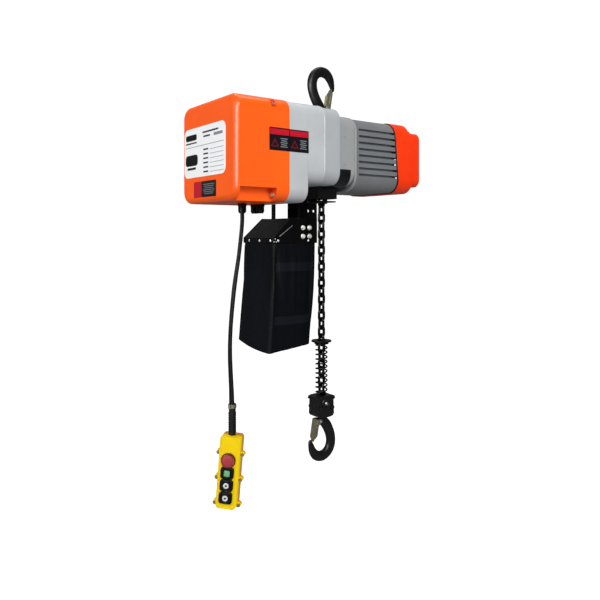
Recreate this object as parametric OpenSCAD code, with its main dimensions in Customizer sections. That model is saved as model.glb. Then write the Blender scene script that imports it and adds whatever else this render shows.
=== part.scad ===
// Electric chain hoist, hung from its top hook. Millimetres.
// The origin is the seat of the top hook, where it rests on a beam clamp or ring.
// X runs along the motor shaft, Z is up, and the load chain hangs at X = 0, Y = 0.

/* [Body] */
// Width of the control cover across the body
cover_w = 240; // [236:1:244]
// Height of the control cover
cover_h = 216; // [214:1:218]
// Depth of the top of the body below the hook seat
body_drop = 84; // [83:1:85]
// X of the outer face of the control cover
cover_x0 = -283; // [-290:1:-278]
// X of the joint between the control cover and the gear case
cover_x1 = -154; // [-156:1:-152]
// X where the gear case steps up from its flange
flange_x1 = -105; // [-106:1:-104]
// X of the joint between the gear case and its lid
lid_x0 = -55; // [-56:1:-54]
// X of the joint between the gear case lid and the hoist frame
frame_x0 = -8; // [-9:1:-7]
// X of the joint between the hoist frame and the motor housing
motor_x0 = 41; // [41:1:43]
// X of the joint between the motor housing and the end cover
motor_x1 = 165; // [165:1:170]
// X of the outer face of the end cover
end_x1 = 275; // [272:1:280]
// Wall of the pressed covers
cover_wall = 4; // [3:0.5:5]

/* [Drive] */
// Module of both gear stages
gear_module = 1.25; // [1.25]
// Teeth of each pinion
pinion_teeth = 12; // [12]
// Teeth of each gear
gear_teeth = 72; // [72]
// Radius of the motor shaft where it passes through the sheave
shaft_r = 7; // [6:0.5:7]
// Radius of the motor shaft at the rotor
rotor_shaft_r = 9; // [9:0.5:10]
// Outer radius of the hollow sheave shaft
sheave_shaft_r = 17; // [17]
// Pockets around the load sheave
sheave_pockets = 5; // [5]

/* [Chain] */
// Diameter of the chain wire
wire_d = 6.2; // [6:0.1:6.3]
// Inside length of a link
pitch = 19; // [19:0.1:19.2]
// Inside width of a link
link_w = 7.9; // [7.9:0.1:8.2]
// Links in the load fall
load_links = 27; // [27]
// How far the bottom hook can rise from where it hangs
lift_travel = 318; // [300:1:318]

/* [Hooks] */
// Height of the lower hook seat below the top hook seat
hook_span = 873; // [870:1:876]
// Thickness of a hook as a share of its depth
hook_flatness = 0.72; // [0.7:0.01:0.8]

/* [Chain bag] */
// Size of the bag along X
bag_x = 126; // [120:1:128]
// Size of the bag along Y
bag_y = 128; // [120:1:130]
// Height of the bag below its frame
bag_h = 250; // [240:1:255]
// Lean of the bag away from the load chain
bag_lean = 2.5; // [2:0.5:3]

/* [Pendant] */
// Width of the pendant
pendant_w = 46; // [46:1:48]
// Depth of the pendant
pendant_d = 38; // [38:1:40]
// Length of the pendant
pendant_l = 155; // [150:1:160]
// Turn of the pendant about the vertical
pendant_turn = 44; // [35:1:45]
// Lean of the pendant to one side
pendant_lean = 4.4; // [3:0.1:5]
// Diameter of the pendant cable
cable_d = 9; // [8:0.5:10]
// Diameter of the support wire beside the cable
support_d = 3; // [2.5:0.5:3]

/* [Hidden] */
$fn = 48;
fit = 0.05;                     // running clearance on a radius
gap = 0.3;                      // air between parts that don't touch
sheave_r = sheave_pockets * 2 * pitch / (2 * PI);
body_y = sheave_r;              // the motor, the sheave and the casings share this centre line
axis_z = -182;                  // height of the motor and sheave axis
body_top = -body_drop;
body_bottom = body_top - cover_h;
cover_z = (body_top + body_bottom) / 2;
cover_r = 28;
case_bottom = -257;             // underside of the gear case beyond its flange
case_z = (body_top + case_bottom) / 2;
case_h = body_top - case_bottom;
frame_top = -96;
frame_z = (frame_top + case_bottom) / 2;
frame_h = frame_top - case_bottom;
motor_top = -98;
motor_bottom = -266;
motor_w = 200;
centre_distance = gear_module * (pinion_teeth + gear_teeth) / 2;
idler_angle = 20;
idler_y = body_y + centre_distance * cos(idler_angle);
idler_z = axis_z + centre_distance * sin(idler_angle);
stage1_x = -94;                 // start of the first gear stage
stage2_x = -70;                 // start of the second gear stage
slack_y = 2 * sheave_r;
guide_bottom = -285;
lever_z = guide_bottom - 6;      // pin of the limit lever
bag_near_y = 27;
bag_right_x = 8;
bag_left_x = bag_right_x - bag_x;
bag_mid_x = (bag_left_x + bag_right_x) / 2;
bag_mid_y = bag_near_y + bag_y / 2;
roof_z = -330;
rim_z = -388;                   // lower edge of the bag frame
block_top = -744;
block_bottom = -792;
block_crown = 2;                 // height of the flat the spring stands on
block_t = 18;                    // half the thickness of the hook block
last_link_z = block_top - 3;
chain_pin_z = last_link_z - pitch / 2 + 3.4;
spring_top = -618;
spring_turns = 11;
spring_wire = 3.6;
spring_mean_r = 12.9;
pendant_x = -222;
pendant_y = body_y;
pendant_top = -802.5;
boot_l = 67.5;
gland_x = -197;
inlet_x = -142;                  // supply and control inlets in the gear case flange
inlet_y = [67, 43];
inlet_r = 5.5;
button_depths = [49.5, 76, 102.5, 129.5];   // from the top of the pendant to each control
button_r = 11;
ear_depths = [38.5, 93, 148];
ear_t = 6;                       // thickness of each shell's ears, beside the parting plane
// Hook centre line from the neck to the tip: X, Z and half the depth of the section there
hook_spine = [
    [0, -92, 8.6], [0, -79, 8.8], [-4, -70, 11], [-13, -60, 12.4], [-21, -46, 12.2],
    [-26.5, -30, 12], [-27, -14, 12], [-21.5, 0, 12], [-10, 9.5, 12], [3, 12, 12],
    [16, 8, 11.3], [25, -2, 9.8], [29.5, -13, 7.8], [32, -22, 6], [33, -27, 4.6]
];
latch_pivot = [10, -72];
// Pendant cable from its gland to its boot
cable_route = [
    [-197, 30.2, -321], [-197, 30.2, -338], [-199, 30.2, -362], [-202.5, 30.2, -390],
    [-206.5, 30.2, -420], [-211.5, 30.2, -450], [-216, 30.2, -480], [-220, 30.2, -510],
    [-223.3, 30.2, -540], [-226, 30.2, -570], [-227.3, 30.2, -600], [-227.3, 30.2, -630],
    [-226, 30.2, -660], [-224.2, 30.2, -690], [-222.6, 30.2, -716], [-222, 30.2, -735],
    [-222, 30.2, -749]
];
// Support wire from its lug to the clamp above the boot
support_route = [
    [-206, 17, -306.5], [-206, 17, -330], [-208, 19, -362], [-212, 21, -400], [-218, 23, -440],
    [-224, 24.5, -480], [-228.3, 25, -520], [-231.8, 25.2, -560], [-234, 25.2, -600],
    [-234.3, 25.2, -635], [-233, 25.2, -668], [-231.8, 24.8, -700], [-231.5, 24.5, -735]
];

// ---- shared shapes ----

// A rectangle with round corners, centred on the origin
module rounded(w, h, r) {
    square([w - 2 * r, h], center = true);
    square([w, h - 2 * r], center = true);
    for (sx = [-1, 1], sy = [-1, 1])
        translate([sx * (w / 2 - r), sy * (h / 2 - r)]) circle(r);
}

// Extrudes a Y-Z outline from x0 to x1
module along_x(x0, x1) {
    translate([x0, 0, 0]) rotate([90, 0, 90]) linear_extrude(x1 - x0) children();
}

// A rounded prism along X, centred at y, z
module section(x0, x1, w, h, r, z, y = body_y) {
    along_x(x0, x1) translate([y, z]) rounded(w, h, r);
}

// A round rod along X
module rod_x(x0, x1, r, y = body_y, z = axis_z) {
    translate([x0, y, z]) rotate([0, 90, 0]) cylinder(h = x1 - x0, r = r);
}

// A ring along X
module ring_x(x0, x1, outer, inner, y = body_y, z = axis_z) {
    difference() {
        rod_x(x0, x1, outer, y, z);
        rod_x(x0 - 1, x1 + 1, inner, y, z);
    }
}

// A box given by its lowest and highest corners
module span(low, high) {
    translate(low) cube(high - low);
}

// A spur gear along X: straight-flanked teeth, thinned for clearance in mesh
module gear(x0, x1, teeth, bore, phase, y, z) {
    pr = gear_module * teeth / 2;
    tip = pr + 0.85 * gear_module;
    root = pr - 1.1 * gear_module;
    step = 360 / teeth;
    outline = [for (i = [0:teeth - 1], c = [[-0.28, root], [-0.12, tip], [0.12, tip], [0.28, root]])
        [c[1] * cos((i + c[0]) * step), c[1] * sin((i + c[0]) * step)]];
    difference() {
        translate([x0, y, z]) rotate([90, 0, 90]) rotate(phase) linear_extrude(x1 - x0) polygon(outline);
        if (bore > 0) rod_x(x0 - 1, x1 + 1, bore, y, z);
    }
}

// One chain link in the X-Z plane, centred on the origin
module link() {
    bend_r = (link_w + wire_d) / 2;
    straight = pitch - link_w;
    for (s = [0, 180]) rotate([0, s, 0]) {
        translate([0, 0, straight / 2]) rotate([90, 0, 0])
            rotate_extrude(angle = 180) translate([bend_r, 0]) circle(wire_d / 2, $fn = 20);
        translate([bend_r, 0, -straight / 2]) cylinder(h = straight, r = wire_d / 2, $fn = 20);
    }
}

// Catmull-Rom point between p[1] and p[2]
function blend_point(p, t) = 0.5 * (2 * p[1] + (p[2] - p[0]) * t
    + (2 * p[0] - 5 * p[1] + 4 * p[2] - p[3]) * t * t
    + (3 * p[1] - p[0] - 3 * p[2] + p[3]) * t * t * t);
function clamp_index(i, n) = min(max(i, 0), n - 1);
function smooth_path(p, steps) = [
    for (i = [0:len(p) - 2], k = [0:steps - 1])
        blend_point([for (j = [-1:2]) p[clamp_index(i + j, len(p))]], k / steps),
    p[len(p) - 1]
];
function unit(v) = v / norm(v);
function path_dir(p, i) = unit(p[min(i + 1, len(p) - 1)] - p[max(i - 1, 0)]);

// Closed skin over rings of points that all have the same count
module skin(rings) {
    n = len(rings[0]);
    m = len(rings);
    points = [for (r = rings) each r];
    sides = [for (i = [0:m - 2], j = [0:n - 1])
        [i * n + j, i * n + (j + 1) % n, (i + 1) * n + (j + 1) % n, (i + 1) * n + j]];
    first = [[for (j = [n - 1:-1:0]) j]];
    last = [[for (j = [0:n - 1]) (m - 1) * n + j]];
    polyhedron(points, concat(first, sides, last));
}

// A round tube along a path that never turns parallel to Y
module tube(path, d, sides = 8) {
    skin([for (i = [0:len(path) - 1])
        let (dir = path_dir(path, i), a = unit(cross([0, 1, 0], dir)), b = cross(dir, a))
        [for (j = [0:sides - 1]) let (t = -360 * j / sides) path[i] + d / 2 * (cos(t) * a + sin(t) * b)]]);
}

// The bent part of a hook in the X-Z plane, with an oval section
module hook_bend() {
    sides = 14;
    path = smooth_path(hook_spine, 2);
    skin([for (i = [0:len(path) - 1])
        let (p = path[i], d = path_dir([for (q = path) [q[0], q[1]]], i), n = [-d[1], d[0]])
        [for (j = [0:sides - 1]) let (t = 360 * j / sides)
            [p[0] + n[0] * p[2] * cos(t), hook_flatness * p[2] * sin(t), p[1] + n[1] * p[2] * cos(t)]]]);
}

// The bend with the lug that carries the latch pin
module hook_body() {
    difference() {
        union() {
            hook_bend();
            translate([latch_pivot[0], 7, latch_pivot[1]]) rotate([90, 0, 0]) cylinder(h = 14, r = 5.5);
        }
        translate([latch_pivot[0], 15, latch_pivot[1]]) rotate([90, 0, 0]) cylinder(h = 30, r = 2);
    }
}

// The sheet-steel latch, from its pin at the neck to the inside of the tip
module latch() {
    cheek_y = 9.2;
    sheet = 1.6;
    tilt = 10;
    front = 7.6;
    reach = 48;
    translate([latch_pivot[0], 0, latch_pivot[1]]) rotate([0, tilt, 0]) difference() {
        union() {
            span([front, -cheek_y - sheet, -3], [front + sheet, cheek_y + sheet, 15]);
            span([front, -cheek_y - sheet, 14], [front + sheet, cheek_y + sheet, reach - 7]);
            span([front, -6, reach - 8], [front + sheet, 6, reach]);
            for (y = [-cheek_y - sheet, cheek_y]) {
                span([front - 4, y, 14], [front + 1, y + sheet, reach - 12]);
                translate([0, y + sheet, 0]) rotate([90, 0, 0]) cylinder(h = sheet, r = 5);
                span([0, y, -3], [front + 1, y + sheet, 5]);
                span([2, y, 0], [front + 1, y + sheet, 15]);
            }
        }
        translate([0, 20, 0]) rotate([90, 0, 0]) cylinder(h = 40, r = 2 + fit);
    }
}

module latch_pin() {
    translate([latch_pivot[0], 12, latch_pivot[1]]) rotate([90, 0, 0]) cylinder(h = 24, r = 2);
}

// Puts hook parts at the lower hook, turned over
module at_load_hook() {
    translate([0, 0, -hook_span]) rotate([0, 180, 0]) children();
}

// ---- suspension ----

module top_hook() {
    color("#17181a") {
        hook_body();
        translate([0, 0, -130]) cylinder(h = 46, r = 9);
    }
}

module hook_nut() {
    color("silver") difference() {
        union() {
            translate([0, 0, -130]) cylinder(h = 11.7, r = 14.5, $fn = 6);
            translate([0, 0, -118.3]) cylinder(h = 3.3, r = 15);
        }
        translate([0, 0, -135]) cylinder(h = 30, r = 9);
    }
}

module top_latch() {
    color("#8f8d80") latch();
}

module top_latch_pin() {
    color("silver") latch_pin();
}

// ---- casings ----

pocket_y = 22;       // depth of the screw pockets in from the cover's sides
pocket_z = 28;       // height of the screw pockets
screw_x = cover_x1 - 32;
screw_inset = 14;     // from the cover's sides to a screw's axis

// Places a child at the four corners of the cover, as offsets from its centre
module at_cover_corners() {
    for (sy = [-1, 1], sz = [-1, 1]) translate([0, body_y, cover_z]) scale_sign(sy, sz) children();
}

module scale_sign(sy, sz) {
    mirror([0, sy < 0 ? 1 : 0, 0]) mirror([0, 0, sz < 0 ? 1 : 0]) children();
}

// Rounded all along its length, with a fillet round the closed end that follows the corners
module cover_outside() {
    end_r = 12;
    hull() for (sy = [-1, 1], sz = [-1, 1])
        translate([0, body_y + sy * (cover_w / 2 - cover_r), cover_z + sz * (cover_h / 2 - cover_r)])
            rotate([0, 90, 0]) {
                translate([0, 0, cover_x0 + end_r])
                    cylinder(h = cover_x1 - cover_x0 - end_r, r = cover_r, $fn = 32);
                for (t = [0, 18, 36, 54, 72]) translate([0, 0, cover_x0 + end_r * (1 - cos(t))])
                    cylinder(h = 1, r = cover_r - end_r * (1 - sin(t)), $fn = 32);
            }
}

module cover_pockets() {
    half_w = cover_w / 2;
    half_h = cover_h / 2;
    for (sy = [-1, 1]) translate([0, body_y, cover_z]) {
        scale_sign(sy, -1) span([cover_x0 + 10, half_w - pocket_y, half_h - pocket_z],
            [screw_x, half_w + 1, half_h + 1]);
        scale_sign(sy, 1) span([screw_x - 12, half_w - pocket_y, half_h - pocket_y],
            [screw_x, half_w + 1, half_h + 1]);
    }
}

module control_cover() {
    half_w = cover_w / 2;
    half_h = cover_h / 2;
    color("#f5661f") difference() {
        cover_outside();
        difference() {
            section(cover_x0 + cover_wall, cover_x1 + 1, cover_w - 2 * cover_wall, cover_h - 2 * cover_wall,
                cover_r - cover_wall, cover_z);
            at_cover_corners()
                span([cover_x0, half_w - pocket_y - cover_wall, half_h - pocket_z - cover_wall],
                    [cover_x1 + 2, half_w, half_h]);
        }
        cover_pockets();
        at_cover_corners() translate([screw_x - 1, half_w - screw_inset, half_h - screw_inset])
            rotate([0, 90, 0]) cylinder(h = cover_x1 - screw_x + 2, r = 3.2);
    }
}

module cover_screws() {
    color("silver") at_cover_corners()
        translate([screw_x, cover_w / 2 - screw_inset, cover_h / 2 - screw_inset]) rotate([0, 90, 0]) {
            translate([0, 0, -5]) cylinder(h = 5, r = 4.6);
            cylinder(h = cover_x1 - screw_x + 14, r = 3);
        }
}

module gear_case() {
    wall = 7;
    color("#b9bdc2") difference() {
        union() {
            section(cover_x1, flange_x1, cover_w - 3, cover_h - 2, cover_r, cover_z);
            section(flange_x1 - 1, lid_x0, cover_w - 10, case_h, cover_r, case_z);
        }
        difference() {
            section(cover_x1 - 1, flange_x1 - 7, cover_w - 3 - 2 * wall, cover_h - 2 - 2 * wall,
                cover_r - wall, cover_z);
            at_cover_corners() span([cover_x1 - 1, cover_w / 2 - 24, cover_h / 2 - 24],
                [flange_x1, cover_w / 2 - 4, cover_h / 2 - 4]);
        }
        section(flange_x1, lid_x0 + 1, cover_w - 10 - 2 * wall, case_h - 2 * wall, cover_r - wall,
            case_z);
        at_cover_corners() translate([cover_x1 - 1, cover_w / 2 - screw_inset, cover_h / 2 - screw_inset])
            rotate([0, 90, 0]) cylinder(h = 22, r = 3);
        rod_x(flange_x1 - 6, flange_x1 + 1, 13, idler_y, idler_z);
        rod_x(flange_x1 - 6, flange_x1 + 1, 13);
        for (y = inlet_y) translate([inlet_x, y, body_bottom - 1]) cylinder(h = 20, r = inlet_r + 1);
    }
}

// Corners of the four long bolts, from the frame's centre
bolt_corners = [[-75, -62], [75, -62], [-75, 62], [75, 62]];

module gear_case_lid() {
    color("#b4b8bd") difference() {
        section(lid_x0, frame_x0, cover_w - 24, case_h, 30, case_z);
        section(lid_x0 - 1, frame_x0 + 1, cover_w - 40, case_h - 16, 22, case_z);
        translate([0, 0, -100]) cylinder(h = 30, r = 12);
        for (y = [0, slack_y]) translate([0, y, case_bottom - 1]) cylinder(h = 12, r = 13);
    }
}

module case_bolts() {
    color("silver") for (p = bolt_corners)
        translate([frame_x0, body_y + p[0], frame_z + p[1]]) rotate([0, 90, 0]) {
            translate([0, 0, -28]) cylinder(h = 6, r = 5, $fn = 6);
            translate([0, 0, -22]) cylinder(h = 82, r = 3);
        }
}

module hoist_frame() {
    passage = 13;
    color("#9ea2a4") difference() {
        union() {
            section(frame_x0 - 22, frame_x0, cover_w - 40.6, case_h - 16.6, 21.7, case_z);
            section(frame_x0, motor_x0, motor_w, frame_h, 32, frame_z);
        }
        rod_x(-18, 18, 46);
        rod_x(-31, 29, 26);
        rod_x(28, 32, 12);
        rod_x(31, motor_x0 + 1, 20);
        rod_x(frame_x0 - 23, -18, 13, idler_y, idler_z);
        for (y = [0, slack_y])
            span([-passage, y - passage, case_bottom - 1], [passage, y + passage, axis_z]);
        translate([0, 0, -114.7]) cylinder(h = 30, r = 9 + fit);
        translate([0, 0, -150]) cylinder(h = 150 - 114.7, r = 18);
        for (p = bolt_corners)
            rod_x(frame_x0 - 23, motor_x0 + 1, 3, body_y + p[0], frame_z + p[1]);
    }
}

slot_h = 5.2;
slot_pitch = 14.8;
slot_top = -126.5;
end_screw_z = [slot_top - 2.5 * slot_pitch, slot_top - 5.5 * slot_pitch];

// The slanting joint between the motor housing and the end cover: side 0 is before it, 1 beyond it
module at_end_joint(side) {
    translate([motor_x1 + 11, body_y, axis_z]) rotate([0, -joint_slant, 0])
        translate([side * 60 - 60, -150, -150]) cube([60, 300, 300]);
}

module motor_housing() {
    long_x1 = motor_x1 + 22;
    color("#9b9ea0") difference() {
        section(motor_x0, long_x1, motor_w, motor_top - motor_bottom, 35, (motor_top + motor_bottom) / 2);
        rod_x(motor_x0 + 6, long_x1 + 1, 68);
        rod_x(motor_x0 - 1, motor_x0 + 7, 20);
        for (i = [0:7], s = [-1, 1])
            translate([motor_x0 + 14, body_y + s * (motor_w / 2 - 4), slot_top - i * slot_pitch])
                translate([0, -6, -slot_h / 2]) cube([long_x1 - motor_x0, 12, slot_h]);
        for (p = bolt_corners)
            rod_x(motor_x0 - 1, motor_x0 + 14, 3, body_y + p[0], frame_z + p[1]);
        for (sy = [-1, 1], z = end_screw_z)
            rod_x(motor_x1 - 24, long_x1, 2, body_y + sy * 96, z);
        for (sy = [-1, 1]) span([motor_x1, body_y + sy * 60 - 12.3, axis_z - 12.3],
            [long_x1 + 1, body_y + sy * 60 + 12.3, axis_z + 12.3]);
        at_end_joint(1);
    }
}

joint_slant = 5.1;   // slant of the end cover's joint, further out at the bottom
end_neck = 216;      // where the end cover starts to narrow
end_step = 241;      // where the narrow outer part starts

module end_cover() {
    wall = cover_wall;
    color("#f0501c") difference() {
        union() {
            section(motor_x1, end_neck, motor_w + 4, 172, 36, -182);
            section(end_neck - 1, end_step, motor_w - 20, 162, 34, -185);
            section(end_step - 1, end_x1, motor_w - 40, 136, 18, -180);
        }
        at_end_joint(0);
        section(motor_x1 - 1, end_neck - wall, motor_w + 4 - 2 * wall, 172 - 2 * wall, 32, -182);
        section(end_neck - wall - 1, end_step - wall, motor_w - 20 - 2 * wall, 162 - 2 * wall, 30, -185);
        section(end_step - wall - 1, end_x1 - wall, motor_w - 40 - 2 * wall, 136 - 2 * wall, 14,
            -180);
        for (sy = [-1, 1], z = end_screw_z)
            rod_x(end_neck - wall - 1, end_neck + 1, 2.2, body_y + sy * 96, z);
        for (z = [-220:12:-140])
            span([end_x1 - wall - 1, body_y - 50, z - 2.5], [end_x1 + 1, body_y + 50, z + 2.5]);
    }
}

module end_cover_screws() {
    color("silver") for (sy = [-1, 1], z = end_screw_z) {
        rod_x(motor_x1 - 20, end_neck, 2, body_y + sy * 96, z);
        rod_x(end_neck, end_neck + 4, 4, body_y + sy * 96, z);
    }
}

// ---- motor and brake ----

module stator_core() {
    color("#5c6066") ring_x(68, 148, 68, 38.5);
}

module stator_windings() {
    color("#a8582c") {
        ring_x(52, 68, 60, 42);
        ring_x(148, 163, 60, 42);
    }
}

// The shaft, with its pinion cut on it
module motor_shaft() {
    color("silver") {
        rod_x(-110.5, stage1_x + 17, 6);
        gear(stage1_x, stage1_x + 14, pinion_teeth, 0, idler_angle, body_y, axis_z);
        rod_x(stage1_x + 17, 32.5, shaft_r);
        rod_x(32.5, 232, rotor_shaft_r);
    }
}

module motor_rotor() {
    color("#73777c") ring_x(68, 148, 37.8, rotor_shaft_r);
}

module brake_disc() {
    color("#4c4f54") ring_x(184, 190, 48, rotor_shaft_r);
}

module brake_coil() {
    color("#33363a") difference() {
        union() {
            ring_x(motor_x1, 183.4, 56, 13);
            for (sy = [-1, 1]) span([motor_x1, body_y + sy * 60 - 12, axis_z - 12],
                [172, body_y + sy * 60 + 12, axis_z + 12]);
        }
        rod_x(160, 190, 13);
    }
}

module cooling_fan() {
    color("#2a2c2f") {
        ring_x(206, 226, 16, rotor_shaft_r);
        for (a = [0:60:300]) translate([0, body_y, axis_z]) rotate([a, 0, 0])
            translate([208, -1.5, 15]) cube([16, 3, 42]);
    }
}

// A ball bearing as one ring, held in its seat and running on its shaft
module bearing(x0, width, outer, inner, y = body_y, z = axis_z) {
    ring_x(x0, x0 + width, outer, inner + fit, y, z);
}

module motor_bearings() {
    color("silver") {
        bearing(-110.5, 8, 13, 6);
        bearing(32.6, 9.4, 20, rotor_shaft_r);
        bearing(motor_x1 + 2, 9, 13, rotor_shaft_r);
    }
}

// ---- gears and sheave ----

// The intermediate shaft, with its pinion cut on it
module idler_shaft() {
    color("silver") {
        rod_x(-110.5, -19, 6, idler_y, idler_z);
        gear(stage2_x - 2, stage2_x + 20, pinion_teeth, 0, idler_angle + 180, idler_y, idler_z);
    }
}

module idler_gear() {
    color("#7d8086") gear(stage1_x + 1, stage1_x + 13, gear_teeth, 6,
        idler_angle + 180 + 180 / gear_teeth, idler_y, idler_z);
}

module idler_bearings() {
    color("silver") {
        bearing(-110.5, 10, 13, 6, idler_y, idler_z);
        bearing(-28, 9, 13, 6, idler_y, idler_z);
    }
}

module sheave_shaft() {
    color("silver") ring_x(-72, 28, sheave_shaft_r, 9.5);
}

module load_sheave() {
    color("#6b6e73") difference() {
        rod_x(-14, 14, 40);
        rod_x(-15, 15, sheave_shaft_r);
        translate([0, body_y, axis_z]) rotate([0, 90, 0])
            rotate_extrude() translate([sheave_r + 3.5, 0]) rounded(14, 8.4, 3);
        for (i = [0:sheave_pockets - 1])
            translate([0, body_y, axis_z]) rotate([i * 360 / sheave_pockets, 0, 0])
            translate([-11.5, -16, sheave_r - 5]) cube([23, 32, 20]);
    }
}

module output_gear() {
    color("#7d8086") gear(stage2_x, stage2_x + 18, gear_teeth, sheave_shaft_r,
        idler_angle + 180 / gear_teeth, body_y, axis_z);
}

module sheave_bearings() {
    color("silver") {
        bearing(-29.5, 10, 26, sheave_shaft_r);
        bearing(18.5, 9.4, 26, sheave_shaft_r);
    }
}

// ---- controls inside the cover ----

module control_plate() {
    color("#c9ccd0") section(cover_x1 - 3, cover_x1, 226, 150, 6, cover_z);
}

module contactors() {
    color("#3c4046") for (y = [-35, 30]) difference() {
        span([-222, y, -245], [cover_x1 - 3, y + 50, -170]);
        span([-223, y + 8, -215], [-210, y + 42, -200]);
    }
}

module transformer() {
    color("#8e6f3c") {
        span([-205, 90, -235], [cover_x1 - 3, 124, -185]);
        span([-192, 84, -228], [-168, 126, -192]);
    }
}

// A cable gland hanging from z, with a through bore if it has one
module gland(x, y, z, bore) {
    translate([x, y, z]) difference() {
        union() {
            translate([0, 0, -6]) cylinder(h = 6, r = 11, $fn = 6);
            translate([0, 0, -18]) cylinder(h = 12, r = 9);
            translate([0, 0, -21]) cylinder(h = 3, r = 7.5);
        }
        if (bore > 0) translate([0, 0, -22]) cylinder(h = 23, r = bore);
    }
}

module cable_glands() {
    color("#1b1c1e") {
        gland(gland_x, body_y, body_bottom, 0);
        for (y = inlet_y) gland(inlet_x, y, body_bottom + 1, inlet_r);
        span([-211, 12, body_bottom - 6.5], [-200, 22, body_bottom]);
    }
}

// ---- chain, guide and buffer ----

// The guide's black apron, which wraps the underside of the frame's neck
module guide_wing() {
    t = 3;
    difference() {
        section(-6, 28, motor_w + 2 * t, frame_h + t, 33, frame_z - t / 2);
        section(-7, 29, motor_w, frame_h, 32, frame_z);
        span([-10, body_y - motor_w, -221], [40, body_y + motor_w, -80]);
    }
}

module chain_guide() {
    color("#17181a") difference() {
        union() {
            span([-24, -20, guide_bottom], [30, 84, case_bottom]);
            for (x = [-24, 26]) span([x, 16, lever_z - 4], [x + 4, 26, guide_bottom]);
            guide_wing();
        }
        for (y = [0, slack_y]) translate([0, y, guide_bottom - 1]) cylinder(h = 40, r = 13);
        translate([-30, 21, lever_z]) rotate([0, 90, 0]) cylinder(h = 70, r = 2);
    }
}

module limit_lever() {
    z0 = lever_z - 2;
    color("#2a2c2f") difference() {
        union() {
            span([-19.6, -22, z0], [25.6, 21, z0 + 3]);
            translate([-19.6, 21, lever_z]) rotate([0, 90, 0]) cylinder(h = 45.2, r = 3.6);
        }
        translate([0, 0, z0 - 1]) cylinder(h = 10, r = 13);
        translate([-30, 21, lever_z]) rotate([0, 90, 0]) cylinder(h = 70, r = 2 + fit);
    }
}

module limit_lever_pin() {
    color("silver") translate([-24, 21, lever_z]) rotate([0, 90, 0]) cylinder(h = 54, r = 2);
}

module load_chain() {
    top_link = last_link_z + (load_links - 1) * pitch;
    color("#3a3c3f") for (i = [0:load_links - 1])
        translate([0, 0, top_link - i * pitch]) rotate([0, 0, 90 * (i % 2)]) link();
}

// The slack fall drops through the guide, slants along the hanger and hangs into the bag:
// the number of links and the slant of each run
slack_runs = [[3, 0], [5, 14], [8, 0]];

// Where a run starts, and how many links come before it
function run_start(k) = k == 0 ? [0, -234.5] : run_start(k - 1)
    - slack_runs[k - 1][0] * pitch * [sin(slack_runs[k - 1][1]), cos(slack_runs[k - 1][1])];
function links_before(k) = k == 0 ? 0 : links_before(k - 1) + slack_runs[k - 1][0];

module slack_chain() {
    color("#3a3c3f") for (k = [0:len(slack_runs) - 1])
        translate([run_start(k)[0], slack_y, run_start(k)[1]]) rotate([0, slack_runs[k][1], 0])
            for (i = [0:slack_runs[k][0] - 1]) translate([0, 0, -(i + 0.5) * pitch])
                rotate([0, 0, 90 * ((i + links_before(k)) % 2)]) link();
}

module spring_plate() {
    color("#2a2c2f") difference() {
        union() {
            translate([0, 0, spring_top]) cylinder(h = 3, r = 23.5);
            translate([0, 0, spring_top - 5]) cylinder(h = 5, r = 16.8);
        }
        translate([0, 0, spring_top - 6]) cylinder(h = 10, r = 11.5);
        translate([0, 0, spring_top - 6]) cylinder(h = 6, r = 15.2);
    }
}

module buffer_spring() {
    steps = spring_turns * 10;
    z0 = block_top + block_crown + spring_wire / 2 + 0.1;
    height = spring_top - spring_wire / 2 - 0.1 - z0;
    color("#26282b") skin([for (i = [0:steps])
        let (t = i * 36, z = z0 + height * i / steps, out = [cos(t), sin(t), 0],
            rise = height / spring_turns / (2 * PI),
            side = unit([-sin(t) * spring_mean_r, cos(t) * spring_mean_r, rise]),
            up = cross(out, side))
        [for (j = [0:5]) [spring_mean_r * cos(t), spring_mean_r * sin(t), z]
            + spring_wire / 2 * (cos(60 * j) * out + sin(60 * j) * up)]]);
}

// ---- hook block ----

// Outline of the block in X-Z: wide shoulders, a waist and a tapered foot
module block_outline() {
    half = [[16, block_crown], [25, 0], [27, -6], [22, -9], [23.5, -41], [20, -46],
        [11, block_bottom - block_top]];
    mirrored = [for (i = [len(half) - 1:-1:0]) [-half[i][0], half[i][1]]];
    polygon(concat(half, mirrored));
}

module block_half(side) {
    difference() {
        translate([0, side > 0 ? block_t : 0, block_top]) rotate([90, 0, 0])
            linear_extrude(block_t) block_outline();
        translate([0, 0, block_top - 22]) cylinder(h = 40, r = 11.4);
        translate([0, 0, block_bottom - 1]) cylinder(h = 60, r = 9 + fit);
        translate([0, 0, block_bottom + 7]) cylinder(h = 26, r = 13);
        for (x = [-17.5, 17.5]) translate([x, 20, block_top - 26]) rotate([90, 0, 0])
            cylinder(h = 40, r = 2.5);
        translate([0, 20, chain_pin_z]) rotate([90, 0, 0]) cylinder(h = 40, r = 3.3);
    }
}

module block_front() {
    color("#17181a") block_half(-1);
}

module block_back() {
    color("#17181a") block_half(1);
}

module block_bolts() {
    color("silver") for (x = [-17.5, 17.5]) translate([x, 0, block_top - 26]) rotate([90, 0, 0]) {
        translate([0, 0, -block_t]) cylinder(h = 2 * block_t, r = 2.5);
        translate([0, 0, block_t]) cylinder(h = 4, r = 4.6, $fn = 6);
        translate([0, 0, -block_t - 4]) cylinder(h = 4, r = 4.6, $fn = 6);
    }
}

module chain_pin() {
    color("silver") translate([0, block_t, chain_pin_z]) rotate([90, 0, 0])
        cylinder(h = 2 * block_t, r = 3.3);
}

module load_hook() {
    color("#17181a") {
        at_load_hook() hook_body();
        translate([0, 0, -hook_span + 84]) cylinder(h = 22, r = 9);
        translate([0, 0, block_bottom + 8]) cylinder(h = 15, r = 12);
    }
}

module load_latch() {
    color("#8f8d80") at_load_hook() latch();
}

module load_latch_pin() {
    color("silver") at_load_hook() latch_pin();
}

// ---- chain bag ----

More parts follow.
